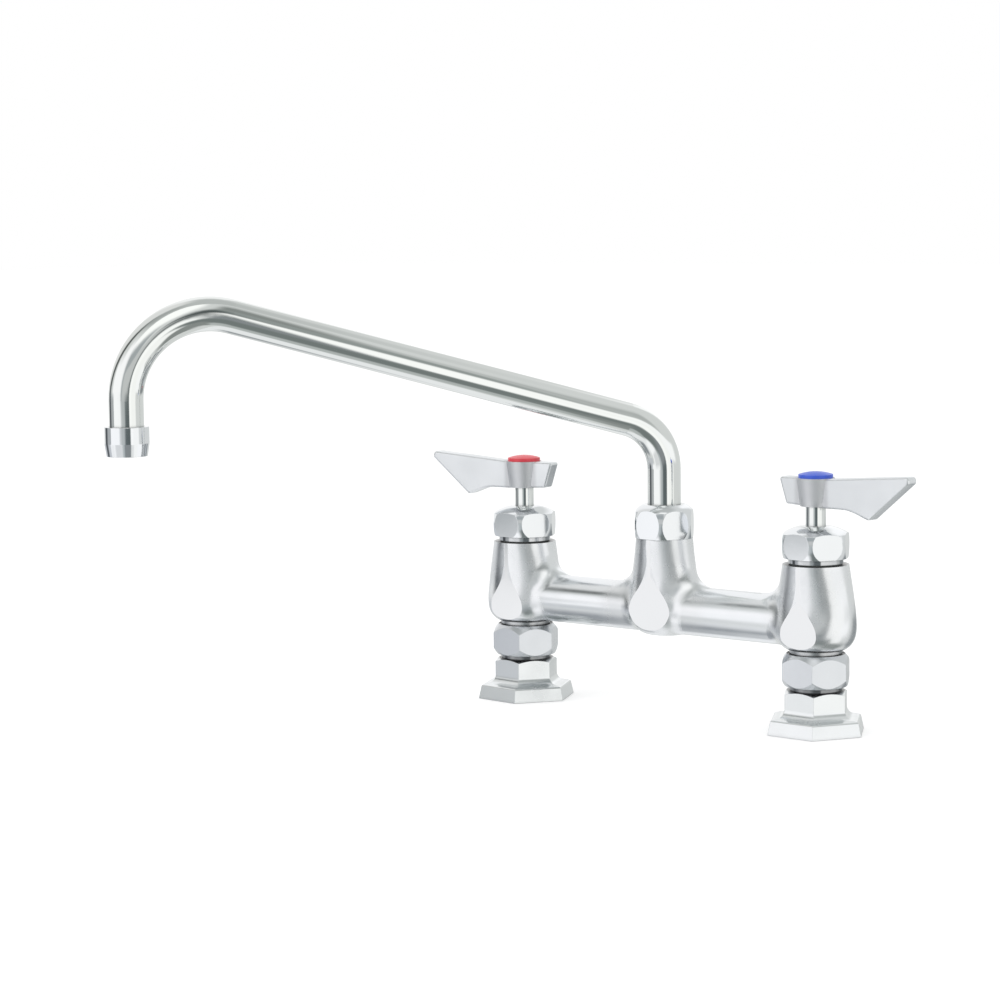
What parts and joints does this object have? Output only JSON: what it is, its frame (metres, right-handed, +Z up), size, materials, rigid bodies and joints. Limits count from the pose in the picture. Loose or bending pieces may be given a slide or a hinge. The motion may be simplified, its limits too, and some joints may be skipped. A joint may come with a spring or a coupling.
{
  "type": "bridge faucet",
  "caption": "Deck-mount bridge faucet with lever handles on ceramic-disc valves, hexagonal deck flanges and a swing gooseneck spout.",
  "frame": {"origin": "on the deck, midway between the two inlet centres", "axes": "+X from the hot inlet to the cold inlet, -Y towards the user, +Z up"},
  "size_m": [0.3547, 0.2868, 0.2432],
  "materials": {
    "chrome_plate": "bright plating over machined brass",
    "polished_chrome": "mirror polished plating",
    "satin_chrome": "satin plating over a ground casting, polished flats",
    "dull_chrome": "thin plating over a turned neck, left dull",
    "cast_chrome": "plating over a softly polished die casting",
    "bare_brass": "turned, unplated",
    "stainless": "brushed",
    "black_rubber": "matt",
    "grey_fibre": "matt pressed fibre",
    "white_nylon": "matt",
    "white_ceramic": "lapped ceramic",
    "red_plastic": "gloss, moulded",
    "blue_plastic": "gloss, moulded"
  },
  "bodies": {
    "faucet_body": {"bridge_body": "satin_chrome", "spout_nut": "chrome_plate", "hot_deck_flange": "chrome_plate", "hot_inlet_tail": "dull_chrome", "hot_coupling_nut": "chrome_plate", "hot_coupling_washer": "black_rubber", "hot_bonnet": "chrome_plate", "hot_bonnet_gasket": "grey_fibre", "hot_disc_seal": "black_rubber", "hot_fixed_disc": "white_ceramic", "cold_deck_flange": "chrome_plate", "cold_inlet_tail": "dull_chrome", "cold_coupling_nut": "chrome_plate", "cold_coupling_washer": "black_rubber", "cold_bonnet": "chrome_plate", "cold_bonnet_gasket": "grey_fibre", "cold_disc_seal": "black_rubber", "cold_fixed_disc": "white_ceramic"},
    "spout": {"spout_tube": "polished_chrome", "spout_sleeve": "bare_brass", "spout_o_rings": "black_rubber", "spout_bearing_washer": "white_nylon", "aerator_shell": "chrome_plate", "aerator_insert": "white_nylon", "aerator_screen": "stainless", "aerator_washer": "black_rubber"},
    "hot_valve": {"hot_handle": "cast_chrome", "hot_index_button": "red_plastic", "hot_handle_screw": "stainless", "hot_stem": "polished_chrome", "hot_stem_o_rings": "black_rubber", "hot_thrust_washer": "white_nylon", "hot_turning_disc": "white_ceramic"},
    "cold_valve": {"cold_handle": "cast_chrome", "cold_index_button": "blue_plastic", "cold_handle_screw": "stainless", "cold_stem": "polished_chrome", "cold_stem_o_rings": "black_rubber", "cold_thrust_washer": "white_nylon", "cold_turning_disc": "white_ceramic"}
  },
  "joints": [
    {"name": "spout_swivel", "type": "hinge", "parent": "faucet_body", "child": "spout", "pos_m": [0, 0, 0.1], "axis": [0, 0, 1], "continuous": true},
    {"name": "hot_handle_turn", "type": "hinge", "parent": "faucet_body", "child": "hot_valve", "pos_m": [-0.1016, 0, 0.1], "axis": [0, 0, 1], "range_deg": [0, 90]},
    {"name": "cold_handle_turn", "type": "hinge", "parent": "faucet_body", "child": "cold_valve", "pos_m": [0.1016, 0, 0.1], "axis": [0, 0, 1], "range_deg": [-90, 0]}
  ]
}
